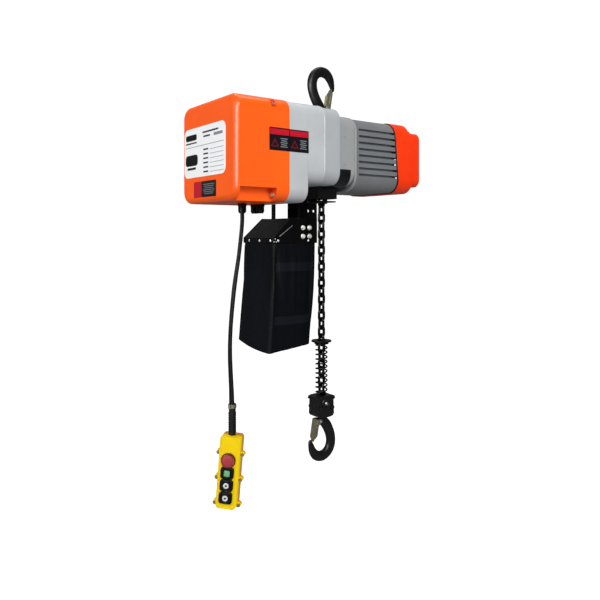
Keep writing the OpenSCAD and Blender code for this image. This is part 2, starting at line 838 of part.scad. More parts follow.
module bag_hanger() {
    sheet = 2.5;
    x0 = -38;
    x1 = 16;
    y0 = 38;
    y1 = 84;
    color("#17181a") difference() {
        union() {
            span([x0, y0, guide_bottom - sheet], [x1, y1, guide_bottom]);
            span([x0, y0, roof_z], [x1, y0 + sheet, guide_bottom]);
            span([x0, y1 - sheet, roof_z], [x1, y1, guide_bottom]);
            span([x0, y0, roof_z], [x1, y1, roof_z + sheet]);
            span([-64, 103, roof_z], [-60, 115, case_bottom]);
        }
        translate([0, slack_y, guide_bottom - 4]) cylinder(h = 10, r = 13);
        for (x = [-26, -10, 6]) translate([x, y0 - 1, -312]) rotate([-90, 0, 0]) cylinder(h = 5, r = 3.2);
        span([-34, 46, roof_z - 1], [5, 76, roof_z + 4]);
    }
}

// Side outline of the bag frame in X-Z, with its sloping shoulder
module hood_outline(inset) {
    shoulder = 52;
    polygon([[bag_left_x + inset, rim_z - inset], [bag_left_x + inset, rim_z + 12],
        [bag_left_x + shoulder + inset * 0.4, roof_z - inset], [bag_right_x - inset, roof_z - inset],
        [bag_right_x - inset, rim_z - inset]]);
}

module bag_frame() {
    sheet = 2;
    color("#17181a") difference() {
        translate([0, bag_near_y + bag_y, 0]) rotate([90, 0, 0]) linear_extrude(bag_y) hood_outline(0);
        translate([0, bag_near_y + bag_y - sheet, 0]) rotate([90, 0, 0])
            linear_extrude(bag_y - 2 * sheet) hood_outline(sheet);
        span([-34, 46, roof_z - 5], [5, 76, roof_z + 1]);
        for (x = [-34, -15], z = [-352, -372]) translate([x, bag_near_y - 1, z])
            rotate([-90, 0, 0]) cylinder(h = 5, r = 3);
    }
}

module chain_bag() {
    wall = 2;
    color("#16191f") difference() {
        union() {
            translate([bag_mid_x, bag_mid_y, rim_z]) rotate([0, bag_lean, 0])
                translate([0, 0, -bag_h]) linear_extrude(bag_h - 3) rounded(bag_x, bag_y, 6);
            translate([bag_mid_x, bag_mid_y, rim_z - 14]) linear_extrude(24)
                rounded(bag_x - 4, bag_y - 4, 4);
        }
        translate([bag_mid_x, bag_mid_y, rim_z]) rotate([0, bag_lean, 0])
            translate([0, 0, -bag_h + wall]) linear_extrude(bag_h - 10)
                rounded(bag_x - 2 * wall, bag_y - 2 * wall, 4);
        translate([bag_mid_x, bag_mid_y, rim_z - 15]) linear_extrude(30)
            rounded(bag_x - 4 - 2 * wall, bag_y - 4 - 2 * wall, 3);
    }
}

// ---- pendant ----

// Puts a child in the pendant's own frame: top centre at the origin, controls towards -Y
module at_pendant() {
    translate([pendant_x, pendant_y, pendant_top]) rotate([0, 0, -pendant_turn])
        rotate([0, pendant_lean, 0]) children();
}

module pendant_cable() {
    color("#1b1c1e") tube(cable_route, cable_d);
}

module support_wire() {
    color("#55585c") tube(support_route, support_d);
}

module pendant_boot() {
    color("#1b1c1e") translate([pendant_x, pendant_y, pendant_top]) difference() {
        union() {
            translate([0, 0, 0.8]) cylinder(h = boot_l - 0.8, r = 7.6);
            for (i = [0:8]) translate([0, 0, 6 + i * 5]) cylinder(h = 2.5, r = 8.6);
            translate([0, 0, -5]) cylinder(h = 7, r = 6);
        }
        translate([0, 0, boot_l - 14]) cylinder(h = 20, r = cable_d / 2 + 0.5);
    }
}

// The steel band round the top of the boot, with the eye that takes the support wire
module cable_clamp() {
    color("silver") translate([pendant_x, pendant_y, pendant_top]) difference() {
        union() {
            translate([0, 0, boot_l - 9]) cylinder(h = 8, r = 9);
            translate([-9.5, -5.7, boot_l - 9]) cylinder(h = 9, r = 3);
        }
        translate([0, 0, boot_l - 10]) cylinder(h = 10, r = 7.6);
        translate([0, 0, boot_l - 12]) cylinder(h = 20, r = 7.6);
    }
}

module pendant_half(y0, y1) {
    depth = y1 - y0;
    difference() {
        union() {
            translate([0, y1, -pendant_l / 2]) rotate([90, 0, 0]) linear_extrude(depth)
                rounded(pendant_w, pendant_l, 7);
            for (s = [-1, 1], d = ear_depths)
                translate([s * (pendant_w / 2 + 2.8), y0 < 0 ? 0 : ear_t, -d])
                    rotate([90, 0, 0]) cylinder(h = ear_t, r = 5.6);
        }
        translate([0, 0, -7]) cylinder(h = 20, r = 7.2);
    }
}

// Cuts the two long front edges off, leg wide on each face
module front_bevels(leg) {
    for (s = [-1, 1]) translate([s * pendant_w / 2, -pendant_d / 2, -pendant_l / 2])
        rotate([0, 0, 45]) cube([leg * sqrt(2), leg * sqrt(2), pendant_l + 20], center = true);
}

module pendant_front() {
    wall = 2.5;
    y0 = -pendant_d / 2;
    color("#f6c411") at_pendant() difference() {
        pendant_half(y0, 0);
        front_bevels(6);
        difference() {
            translate([0, 1, -pendant_l / 2]) rotate([90, 0, 0]) linear_extrude(1 - y0 - wall)
                rounded(pendant_w - 2 * wall, pendant_l - 2 * wall - 8, 5);
            front_bevels(9.6);
        }
        for (d = button_depths) translate([0, y0 + 8, -d]) rotate([90, 0, 0])
            cylinder(h = 20, r = button_r + gap);
        for (s = [-1, 1], d = ear_depths) translate([s * (pendant_w / 2 + 3.7), 5, -d])
            rotate([90, 0, 0]) cylinder(h = 20, r = 2);
    }
}

module pendant_back() {
    wall = 2.5;
    y1 = pendant_d / 2;
    color("#e0a60d") at_pendant() difference() {
        pendant_half(0, y1);
        translate([0, y1 - wall, -pendant_l / 2]) rotate([90, 0, 0]) linear_extrude(y1)
            rounded(pendant_w - 2 * wall, pendant_l - 2 * wall - 8, 5);
        for (s = [-1, 1], d = ear_depths) translate([s * (pendant_w / 2 + 3.7), ear_t - 1, -d])
            rotate([90, 0, 0]) cylinder(h = 20, r = 2);
    }
}

// A push button in its guide hole: a cap outside and a stem inside
module button(depth, cap_r, cap_h) {
    y0 = -pendant_d / 2;
    at_pendant() translate([0, y0, -depth]) rotate([90, 0, 0]) {
        translate([0, 0, -9]) cylinder(h = 9, r = button_r);
        translate([0, 0, 0]) cylinder(h = 5, r = button_r);
        translate([0, 0, 5]) cylinder(h = cap_h, r = cap_r);
    }
}

module estop_button() {
    color("#c8313a") button(button_depths[0], 13.4, 6);
}

module start_button() {
    color("#1b1c1e") button(button_depths[1], button_r, 2);
}

module up_button() {
    color("#1b1c1e") button(button_depths[2], button_r, 2);
}

module down_button() {
    color("#1b1c1e") button(button_depths[3], button_r, 2);
}

// Screws through the ears that hold the two shells together
module pendant_screws() {
    color("silver") at_pendant() for (s = [-1, 1], d = ear_depths)
        translate([s * (pendant_w / 2 + 3.7), -ear_t, -d]) rotate([-90, 0, 0]) {
            cylinder(h = 2 * ear_t - 1, r = 2);
            translate([0, 0, -2]) cylinder(h = 2, r = 3.6);
        }
}

top_hook();
hook_nut();
top_latch();
top_latch_pin();
control_cover();
cover_screws();
gear_case();
gear_case_lid();
case_bolts();
hoist_frame();
motor_housing();
end_cover();
end_cover_screws();
stator_core();
stator_windings();
motor_shaft();
motor_rotor();
brake_disc();
brake_coil();
cooling_fan();
motor_bearings();
idler_shaft();
idler_gear();
idler_bearings();
sheave_shaft();
load_sheave();
output_gear();
sheave_bearings();
control_plate();
contactors();
transformer();
cable_glands();
chain_guide();
limit_lever();
limit_lever_pin();
load_chain();
slack_chain();
spring_plate();
buffer_spring();
block_front();
block_back();
block_bolts();
chain_pin();
load_hook();
load_latch();
load_latch_pin();
bag_hanger();
bag_frame();
chain_bag();
pendant_cable();
support_wire();
pendant_boot();
cable_clamp();
pendant_front();
pendant_back();
pendant_screws();
estop_button();
start_button();
up_button();
down_button();
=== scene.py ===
"""Electric chain hoist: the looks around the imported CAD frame.

Metres, +Z up, the origin at the top hook's seat. Dimensions in the tables below are in millimetres.
"""
import math

import bmesh
import bpy
from mathutils import Matrix, Vector


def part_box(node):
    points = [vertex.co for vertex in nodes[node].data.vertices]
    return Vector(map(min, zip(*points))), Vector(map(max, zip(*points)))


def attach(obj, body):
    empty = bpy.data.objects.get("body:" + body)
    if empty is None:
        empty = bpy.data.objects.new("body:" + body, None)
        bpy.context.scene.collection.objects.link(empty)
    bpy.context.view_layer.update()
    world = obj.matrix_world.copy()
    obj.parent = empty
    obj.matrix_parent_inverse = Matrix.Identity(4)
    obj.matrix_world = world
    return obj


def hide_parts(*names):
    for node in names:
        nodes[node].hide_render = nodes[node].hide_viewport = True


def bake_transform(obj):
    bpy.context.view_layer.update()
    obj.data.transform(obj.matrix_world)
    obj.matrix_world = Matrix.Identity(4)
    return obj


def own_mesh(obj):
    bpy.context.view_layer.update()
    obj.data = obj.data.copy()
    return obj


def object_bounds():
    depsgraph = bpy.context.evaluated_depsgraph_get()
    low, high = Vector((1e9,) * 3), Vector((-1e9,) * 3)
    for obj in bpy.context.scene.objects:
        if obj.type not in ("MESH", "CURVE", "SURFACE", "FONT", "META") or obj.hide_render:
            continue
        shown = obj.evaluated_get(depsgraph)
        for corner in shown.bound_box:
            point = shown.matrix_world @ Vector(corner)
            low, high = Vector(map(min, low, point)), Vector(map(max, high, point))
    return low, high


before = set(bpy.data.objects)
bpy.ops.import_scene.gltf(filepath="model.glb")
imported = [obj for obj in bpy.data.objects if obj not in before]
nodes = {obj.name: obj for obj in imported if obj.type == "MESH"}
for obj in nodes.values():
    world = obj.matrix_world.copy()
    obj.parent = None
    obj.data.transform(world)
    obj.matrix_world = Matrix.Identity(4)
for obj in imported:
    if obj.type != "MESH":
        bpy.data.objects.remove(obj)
cad_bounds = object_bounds()
scene = bpy.context.scene

MM = 0.001


# ---------------------------------------------------------------- camera

SENSOR_WIDTH = 36
FOCAL_LENGTH = 37.98
CAMERA_PLACE = (-0.9126, -1.1677, -0.3667)
CAMERA_TURN = -36.07
LENS_SHIFT = -0.110


def make_camera():
    """A level camera, with its lens shifted down to take in the hoist."""
    data = bpy.data.cameras.new("camera")
    data.sensor_width = SENSOR_WIDTH
    data.lens = FOCAL_LENGTH
    data.shift_y = LENS_SHIFT
    camera = bpy.data.objects.new("camera", data)
    camera.location = CAMERA_PLACE
    camera.rotation_euler = (math.radians(90), 0, math.radians(CAMERA_TURN))
    scene.collection.objects.link(camera)
    scene.camera = camera


# ---------------------------------------------------------------- shapes as (points, faces)

def merged(shapes):
    """Puts several shapes into one."""
    points, faces = [], []
    for p, f in shapes:
        start = len(points)
        points += p
        faces += [tuple(i + start for i in face) for face in f]
    return points, faces


def moved(shape, matrix):
    """The shape taken through a matrix."""
    return [matrix @ p for p in shape[0]], shape[1]


def loft(rings, closed=False, caps=True):
    """Skins rings of points that all have the same count."""
    n = len(rings[0])
    m = len(rings)
    points = [Vector(p) for ring in rings for p in ring]
    faces = []
    for i in range(m if closed else m - 1):
        a, b = i * n, (i + 1) % m * n
        faces += [(a + j, a + (j + 1) % n, b + (j + 1) % n, b + j) for j in range(n)]
    if caps and not closed:
        faces.append(tuple(range(n - 1, -1, -1)))
        faces.append(tuple((m - 1) * n + j for j in range(n)))
    return points, faces


def sweep(path, section, closed=False):
    """Sweeps section(i), a list of (side, up) offsets, along the path without twisting it."""
    path = [Vector(p) for p in path]
    n = len(path)
    rings = []
    side = None
    for i, p in enumerate(path):
        before = path[i - 1] if i or closed else p
        after = path[(i + 1) % n] if i < n - 1 or closed else p
        along = (after - before).normalized()
        if side is None:
            seed = Vector((0, 1, 0)) if abs(along.y) < 0.9 else Vector((1, 0, 0))
            side = seed - along * seed.dot(along)
        side = (side - along * side.dot(along)).normalized()
        up = along.cross(side)
        rings.append([p + side * s + up * u for s, u in section(i)])
    return loft(rings, closed)


def circle(radius, sides):
    """Points round a circle, as (x, y)."""
    return [(radius * math.cos(2 * math.pi * j / sides), radius * math.sin(2 * math.pi * j / sides))
            for j in range(sides)]


def lathe(profile, sides=32):
    """Turns (radius, height) points about Z."""
    rings = [[(r * math.cos(2 * math.pi * j / sides), r * math.sin(2 * math.pi * j / sides), z)
              for j in range(sides)] for r, z in profile]
    return loft(rings)


def turned(profile, sides=40):
    """A lathe shape from a profile in millimetres."""
    return lathe([(r * MM, z * MM) for r, z in profile], sides)


def round_outline(w, h, r, steps=6):
    """A rectangle with round corners, as (x, y) points."""
    points = []
    for cx, cy, start in ((1, 1, 0), (-1, 1, 90), (-1, -1, 180), (1, -1, 270)):
        for k in range(steps + 1):
            a = math.radians(start + 90 * k / steps)
            points.append((cx * (w / 2 - r) + r * math.cos(a), cy * (h / 2 - r) + r * math.sin(a)))
    return points


def slab(outline, thickness, edge=0.0):
    """An outline in X-Y raised from 0 to thickness, with its top edge chamfered by edge."""
    cx = sum(p[0] for p in outline) / len(outline)
    cy = sum(p[1] for p in outline) / len(outline)
    reach = max(max(abs(x - cx), abs(y - cy)) for x, y in outline)
    shrink = 1 - edge / reach
    levels = [(0, 1.0), (thickness - edge, 1.0)]
    if edge:
        levels += [(thickness - 0.3 * edge, 1 - 0.3 * edge / reach), (thickness, shrink)]
    return loft([[(cx + (x - cx) * s, cy + (y - cy) * s, z) for x, y in outline] for z, s in levels])


def axis_matrix(origin, out, up=(0, 0, 1)):
    """Takes local +Z to out, local +Y as near up as it can be, and the local origin to origin."""
    z = Vector(out).normalized()
    y = Vector(up)
    y = (y - z * y.dot(z)).normalized()
    x = y.cross(z)
    turn = Matrix((x, y, z)).transposed().to_4x4()
    return Matrix.Translation(Vector(origin)) @ turn


def smooth_path(points, steps):
    """Catmull-Rom curve through the points, of any dimension."""
    out = []
    last = len(points) - 1
    for i in range(last):
        p = [points[min(max(i + k, 0), last)] for k in (-1, 0, 1, 2)]
        for s in range(steps):
            t = s / steps
            out.append(tuple(0.5 * (2 * b + (c - a) * t + (2 * a - 5 * b + 4 * c - d) * t * t
                                    + (3 * b - a - 3 * c + d) * t ** 3)
                             for a, b, c, d in zip(*p)))
    out.append(tuple(points[-1]))
    return out


# ---------------------------------------------------------------- pieces

def piece(name, shape, material, body, angle=35, bevel=0.0, subdivide=0, replaces=()):
    mesh = bpy.data.meshes.new(name)
    mesh.from_pydata([tuple(p) for p in shape[0]], [], shape[1])
    built = bmesh.new()
    built.from_mesh(mesh)
    bmesh.ops.recalc_face_normals(built, faces=built.faces)
    built.to_mesh(mesh)
    built.free()
    mesh.shade_smooth()
    mesh.set_sharp_from_angle(angle=math.radians(angle))
    mesh.materials.append(material)
    obj = bpy.data.objects.new(name, mesh)
    scene.collection.objects.link(obj)
    if bevel:
        add_bevel(obj, bevel)
    if subdivide:
        mod = obj.modifiers.new("smooth", "SUBSURF")
        mod.levels = mod.render_levels = subdivide
    if body:
        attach(obj, body)
    if replaces:
        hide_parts(*replaces)
    return obj


def add_bevel(obj, width, segments=2, angle=40):
    mod = obj.modifiers.new("edges", "BEVEL")
    mod.width = width
    mod.segments = segments
    mod.limit_method = "ANGLE"
    mod.angle_limit = math.radians(angle)
    mod.harden_normals = False


# ---------------------------------------------------------------- materials

def srgb(code):
    """Linear colour of a hex code such as f5661f."""
    parts = [int(code[i:i + 2], 16) / 255 for i in (0, 2, 4)]
    return tuple(c / 12.92 if c <= 0.04045 else ((c + 0.055) / 1.055) ** 2.4 for c in parts) + (1,)


class Surface:
    """A Principled material with helpers for its nodes."""

    def __init__(self, name, colour, roughness=0.5, metallic=0.0, coat=0.0, specular=0.5, edge=0.0):
        self.material = bpy.data.materials.new(name)
        self.material.use_nodes = True
        self.tree = self.material.node_tree
        self.shader = self.tree.nodes["Principled BSDF"]
        self.colour = srgb(colour)
        self.put("Base Color", self.colour)
        self.put("Roughness", roughness)
        self.put("Metallic", metallic)
        self.put("Coat Weight", coat)
        self.put("Coat Roughness", 0.08)
        self.put("Specular IOR Level", specular)
        self.coords = self.add("ShaderNodeTexCoord").outputs["Object"]
        self.last_bump = None
        if edge:
            rounding = self.add("ShaderNodeBevel", samples=6)
            rounding.inputs["Radius"].default_value = edge
            self.last_bump = rounding.outputs["Normal"]
            self.link(self.last_bump, self.shader.inputs["Normal"])

    def put(self, socket, value):
        self.shader.inputs[socket].default_value = value

    def add(self, kind, **values):
        node = self.tree.nodes.new(kind)
        for key, value in values.items():
            setattr(node, key, value)
        return node

    def link(self, source, target):
        self.tree.links.new(source, target)

    def noise(self, scale, detail=3.0, stretch=(1, 1, 1)):
        mapping = self.add("ShaderNodeMapping")
        mapping.inputs["Scale"].default_value = stretch
        self.link(self.coords, mapping.inputs["Vector"])
        noise = self.add("ShaderNodeTexNoise")
        noise.inputs["Scale"].default_value = scale
        noise.inputs["Detail"].default_value = detail
        self.link(mapping.outputs[0], noise.inputs["Vector"])
        return noise.outputs["Fac"]

    def ramp(self, factor, low, high):
        """Maps factor between two positions to 0..1."""
        node = self.add("ShaderNodeMapRange")
        node.inputs["From Min"].default_value = low
        node.inputs["From Max"].default_value = high
        self.link(factor, node.inputs["Value"])
        return node.outputs["Result"]

    def tint(self, factor, other):
        """Mixes another colour in by factor."""
        mix = self.add("ShaderNodeMix", data_type="RGBA")
        self.link(factor, mix.inputs["Factor"])
        mix.inputs["A"].default_value = self.colour
        mix.inputs["B"].default_value = srgb(other)
        self.link(mix.outputs["Result"], self.shader.inputs["Base Color"])

    def rough(self, factor, low, high):
        node = self.add("ShaderNodeMapRange")
        node.inputs["To Min"].default_value = low
        node.inputs["To Max"].default_value = high
        self.link(factor, node.inputs["Value"])
        self.link(node.outputs["Result"], self.shader.inputs["Roughness"])

    def bump(self, height, strength, distance=0.001):
        node = self.add("ShaderNodeBump")
        node.inputs["Strength"].default_value = strength
        node.inputs["Distance"].default_value = distance
        self.link(height, node.inputs["Height"])
        if self.last_bump:
            self.link(self.last_bump, node.inputs["Normal"])
        self.last_bump = node.outputs["Normal"]
        self.link(self.last_bump, self.shader.inputs["Normal"])


def gloss_paint(name, colour, shade, roughness=0.3, edge=0.0015):
    s = Surface(name, colour, roughness, coat=0.14, specular=0.24, edge=edge)
    s.tint(s.ramp(s.noise(9, 4), 0.35, 0.75), shade)
    s.bump(s.noise(420, 2), 0.05, 0.0004)
    s.rough(s.noise(60, 5), roughness - 0.06, roughness + 0.1)
    return s.material


def powder_paint(name, colour, shade, roughness=0.42, metallic=0.1, edge=0.002):
    s = Surface(name, colour, roughness, metallic, specular=0.4, edge=edge)
    s.tint(s.ramp(s.noise(14, 5), 0.35, 0.75), shade)
    s.bump(s.noise(900, 3), 0.14, 0.0004)
    s.rough(s.noise(90, 4), roughness - 0.08, roughness + 0.1)
    return s.material


def forged_black(name="forged_black", colour="08080a", shade="121214", roughness=0.36, edge=0.001):
    s = Surface(name, colour, roughness, specular=0.28, coat=0.04, edge=edge)
    s.tint(s.ramp(s.noise(35, 5), 0.5, 0.85), shade)
    s.bump(s.noise(120, 4), 0.22, 0.0006)
    s.bump(s.noise(700, 2), 0.1, 0.0003)
    s.rough(s.noise(70, 4), roughness - 0.1, roughness + 0.16)
    return s.material


def sheet_black():
    s = Surface("sheet_black", "030303", 0.4, specular=0.14, coat=0.02, edge=0.0012)
    s.tint(s.ramp(s.noise(20, 4), 0.45, 0.8), "080809")
    s.bump(s.noise(650, 3), 0.14, 0.0004)
    s.rough(s.noise(55, 4), 0.28, 0.48)
    return s.material


def plated_steel(name, colour, roughness=0.3, stain="8a8678", edge=0.0004, metallic=0.9):
    s = Surface(name, colour, roughness, metallic, edge=edge)
    s.tint(s.ramp(s.noise(160, 4), 0.55, 0.9), stain)
    s.bump(s.noise(500, 3, (1, 1, 0.15)), 0.1, 0.0003)
    s.rough(s.noise(130, 4), roughness - 0.08, roughness + 0.18)
    return s.material


def chain_steel():
    s = Surface("chain_steel", "1c1d20", 0.2, 0.85, specular=0.6)
    s.tint(s.ramp(s.noise(210, 4), 0.42, 0.7), "0b0b0d")
    s.bump(s.noise(420, 3), 0.14, 0.0004)
    s.rough(s.noise(160, 4), 0.1, 0.34)
    return s.material


def plastic(name, colour, shade, roughness=0.4, grain=0.1, coat=0.0, edge=0.0008, specular=0.4):
    s = Surface(name, colour, roughness, coat=coat, edge=edge, specular=specular)
    s.tint(s.ramp(s.noise(30, 3), 0.4, 0.8), shade)
    s.bump(s.noise(1300, 2), grain, 0.0003)
    s.rough(s.noise(80, 3), roughness - 0.06, roughness + 0.08)
    return s.material


def rubber():
    s = Surface("cable_rubber", "060607", 0.5, specular=0.25)
    s.tint(s.ramp(s.noise(50, 4), 0.4, 0.8), "121315")
    s.bump(s.noise(800, 3, (1, 1, 0.2)), 0.15, 0.0003)
    s.rough(s.noise(90, 3), 0.42, 0.62)
    return s.material


def nylon(name, colour, shade, weave=350):
    """Coated bag cloth: a fine basket weave over soft colour changes."""
    s = Surface(name, colour, 0.55, specular=0.11)
    s.tint(s.ramp(s.noise(16, 4, (1, 1, 0.25)), 0.35, 0.75), shade)
    threads = []
    for direction in ("X", "Y", "Z"):
        wave = s.add("ShaderNodeTexWave", wave_type="BANDS", bands_direction=direction)
        wave.inputs["Scale"].default_value = weave
        wave.inputs["Distortion"].default_value = 0.4
        s.link(s.coords, wave.inputs["Vector"])
        threads.append(wave.outputs["Fac"])
    total = s.add("ShaderNodeMath", operation="MULTIPLY_ADD")
    s.link(threads[0], total.inputs[0])
    s.link(threads[1], total.inputs[1])
    s.link(threads[2], total.inputs[2])
    s.bump(total.outputs[0], 0.08, 0.0003)
    s.bump(s.noise(22, 4, (1, 1, 0.5)), 0.35, 0.004)
    s.rough(s.noise(45, 4), 0.46, 0.7)
    return s.material


def print_ink(name, colour, roughness=0.35):
    s = Surface(name, colour, roughness, specular=0.22)
    s.rough(s.noise(140, 3), roughness - 0.05, roughness + 0.08)
    s.bump(s.noise(500, 2), 0.03, 0.0002)
    return s.material


def make_materials():
    return {
        "orange": gloss_paint("orange_gloss", "ff5f06", "fb5804"),
        "end_orange": gloss_paint("end_orange_gloss", "f63802", "ea3102"),
        "light_grey": powder_paint("light_casting", "bcc0c3", "b3b7ba"),
        # painted shade: a darker copy of the case's light grey for the gear case lid, which sits in shade
        "lid_grey_painted_shade": powder_paint("lid_casting_painted_shade", "adb1b4", "a5a9ad"),
        "neck_grey": powder_paint("frame_casting", "9b9d9e", "909394", metallic=0.1),
        "motor_grey": powder_paint("motor_casting", "7a7d80", "6f7274", metallic=0.2, edge=0.0012),
        "forged": forged_black(),
        "sheet": sheet_black(),
        "latch": plated_steel("latch_steel", "8f8c78", 0.4, "625f4f"),
        "zinc": plated_steel("zinc_steel", "b9babd", 0.26),
        # near-white, half-metallic zinc for the bag frame's rivets and bolts: plated heads with their
        # glints painted in as pale colour
        "bright": plated_steel("pale_zinc_painted_glint", "f2f2ee", 0.3, "d8d8d2", metallic=0.35),
        # pale steel for the line on the bag frame's crease: a painted highlight
        "crease": plated_steel("crease_edge", "d9dbdf", 0.3),
        "chain": chain_steel(),
        "gear": plated_steel("gear_steel", "8d9095", 0.34, "5d6066"),
        "core": forged_black("core_steel", "3a3c40", "484a4e", 0.45),
        "copper": plated_steel("copper_winding", "b8622e", 0.4, "7d3c18"),
        "control": plastic("control_plastic", "3a3d42", "2f3237"),
        "black_plastic": plastic("black_plastic", "030304", "070708", 0.4, 0.1, specular=0.22),
        "rubber": rubber(),
        "cloth": nylon("bag_cloth", "05080f", "020408"),
        "webbing": nylon("bag_webbing", "12161e", "0c0f15", 220),
        "yellow": plastic("pendant_yellow", "ffdc00", "fbd200", 0.4, 0.08, 0.0, 0.0012, 0.2),
        # deeper, oranger yellow for the back shell: partly its own colour, partly painted shade darkening
        # the side that is in shade
        "yellow_back_painted_shade": plastic("pendant_yellow_back", "e59c04", "dc9203", 0.4, 0.1, 0.0, 0.0012, 0.25),
        "red": plastic("estop_red", "ad3a42", "a2343d", 0.62, 0.05, 0.0, specular=0.2),
        "dark_red": plastic("estop_collar_red", "5c090d", "4a070a", 0.4, 0.06),
        "green": plastic("control_plastic", "6cb883", "5aa872", 0.4, 0.05),
        "mark_white": plastic("mark_white", "dfe2e6", "d3d6da", 0.4, 0.05),
        "label_white": print_ink("label_white", "f2f3f4"),
        "label_black": print_ink("label_black", "020202"),
        "label_grey": print_ink("label_grey", "80868d"),
        "label_red": print_ink("label_red", "b80d24"),
        "label_wine": print_ink("label_wine", "6f0d1b"),
        "label_navy": print_ink("label_navy", "0c0912"),
    }


CAD_MATERIALS = {
    "orange": "control_cover",
    "end_orange": "end_cover",
    "light_grey": "gear_case",
    # the lid takes the darker painted-shade copy of the case grey
    "lid_grey_painted_shade": "gear_case_lid",
    "neck_grey": "hoist_frame",
    "motor_grey": "motor_housing",
    "forged": "top_hook load_hook block_front block_back block_bolts chain_guide",
    "sheet": "bag_hanger bag_frame limit_lever spring_plate",
    "latch": "top_latch load_latch cable_clamp pendant_screws",
    "zinc": "hook_nut top_latch_pin load_latch_pin cover_screws case_bolts end_cover_screws motor_shaft"
            " motor_bearings idler_shaft idler_bearings sheave_shaft sheave_bearings limit_lever_pin"
            " chain_pin support_wire control_plate",
    "chain": "load_chain slack_chain buffer_spring",
    "gear": "idler_gear output_gear load_sheave",
    "core": "stator_core motor_rotor brake_disc brake_coil transformer",
    "copper": "stator_windings",
    "control": "contactors cooling_fan",
    "black_plastic": "cable_glands",
    "rubber": "pendant_cable pendant_boot",
    "cloth": "chain_bag",
    "yellow": "pendant_front",
    # the back shell's deeper yellow is partly painted shade
    "yellow_back_painted_shade": "pendant_back",
}


def paint_cad_nodes(mats):
    for key, names in CAD_MATERIALS.items():
        for name in names.split():
            mesh = nodes[name].data
            mesh.materials.clear()
            mesh.materials.append(mats[key])


# ---------------------------------------------------------------- cords

CABLE_ROUTE = [
    (-197, 30.2, -321), (-197, 30.2, -338), (-199, 30.2, -362), (-202.5, 30.2, -390),
    (-206.5, 30.2, -420), (-211.5, 30.2, -450), (-216, 30.2, -480), (-220, 30.2, -510),
    (-223.3, 30.2, -540), (-226, 30.2, -570), (-227.3, 30.2, -600), (-227.3, 30.2, -630),
    (-226, 30.2, -660), (-224.2, 30.2, -690), (-222.6, 30.2, -716), (-222, 30.2, -735),
    (-222, 30.2, -749),
]
SUPPORT_ROUTE = [
    (-206, 17, -306.5), (-206, 17, -330), (-208, 19, -362), (-212, 21, -400), (-218, 23, -440),
    (-224, 24.5, -480), (-228.3, 25, -520), (-231.8, 25.2, -560), (-234, 25.2, -600),
    (-234.3, 25.2, -635), (-233, 25.2, -668), (-231.8, 24.8, -700), (-231.5, 24.5, -735),
]


def make_cord(name, route, diameter, material):
    path = [Vector(p) * MM for p in smooth_path(route, 6)]
    ring = circle(diameter / 2, 20)
    obj = piece(name + "_run", sweep(path, lambda i: ring), material, "hoist", 60, replaces=(name,))


# ---------------------------------------------------------------- chain and spring

WIRE = 6.2 * MM
PITCH = 19 * MM
LINK_W = 7.9 * MM
LINKS = 27
LAST_LINK_Z = -747 * MM


def link_shape(centre, turn):
    """One welded link, hanging in the X-Z plane before it is turned about Z."""
    bend = (LINK_W + WIRE) / 2
    half = (PITCH - LINK_W) / 2
    path = []
    for sign in (1, -1):
        for k in range(13):
            a = math.radians(180 * k / 12)
            path.append(Vector((sign * bend * math.cos(a), 0, sign * (half + bend * math.sin(a)))))
    weld = len(path) - 1
    sections = [circle(WIRE / 2 * (1.06 if i in (weld, 0) else 1.0), 14) for i in range(len(path))]
    place = Matrix.Translation(centre) @ Matrix.Rotation(turn, 4, "Z")
    return moved(sweep(path, lambda i: sections[i], closed=True), place)


def make_load_chain(mats):
    links = [link_shape(Vector((0, 0, LAST_LINK_Z + (LINKS - 1 - i) * PITCH)), math.pi / 2 * (i % 2))
             for i in range(LINKS)]
    chain = piece("load_chain_links", merged(links), mats["chain"], None, 60,
                  replaces=("load_chain",))
    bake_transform(chain)


def make_buffer_spring(mats):
    low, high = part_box("buffer_spring")
    wire = 1.8 * MM
    radius = high.x - wire
    turns = 11
    steps = 24
    total = turns * steps
    path = []
    for i in range(total + 1):
        a = 2 * math.pi * i / steps
        z = low.z + wire + (high.z - low.z - 2 * wire) * i / total
        path.append(Vector((radius * math.cos(a), radius * math.sin(a), z)))
    ring = circle(wire, 12)
    coil = sweep(path, lambda i: ring)
    spring = piece("buffer_spring_coil", coil, mats["chain"], "hook_block", 60,
                   replaces=("buffer_spring",))
    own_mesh(spring)


# ---------------------------------------------------------------- hooks

HOOK_SPINE = [
    (0, -92, 8.6), (0, -79, 8.8), (-4, -70, 11), (-13, -60, 12.4), (-21, -46, 12.2),
    (-26.5, -30, 12), (-27, -14, 12), (-21.5, 0, 12), (-10, 9.5, 12), (3, 12, 12),
    (16, 8, 11.3), (25, -2, 9.8), (29.5, -13, 7.8), (32, -22, 6), (33, -27, 4.6),
]
HOOK_FLATNESS = 0.72
LATCH_PIVOT = Vector((10, 0, -72)) * MM
LOAD_SEAT_Z = -873 * MM


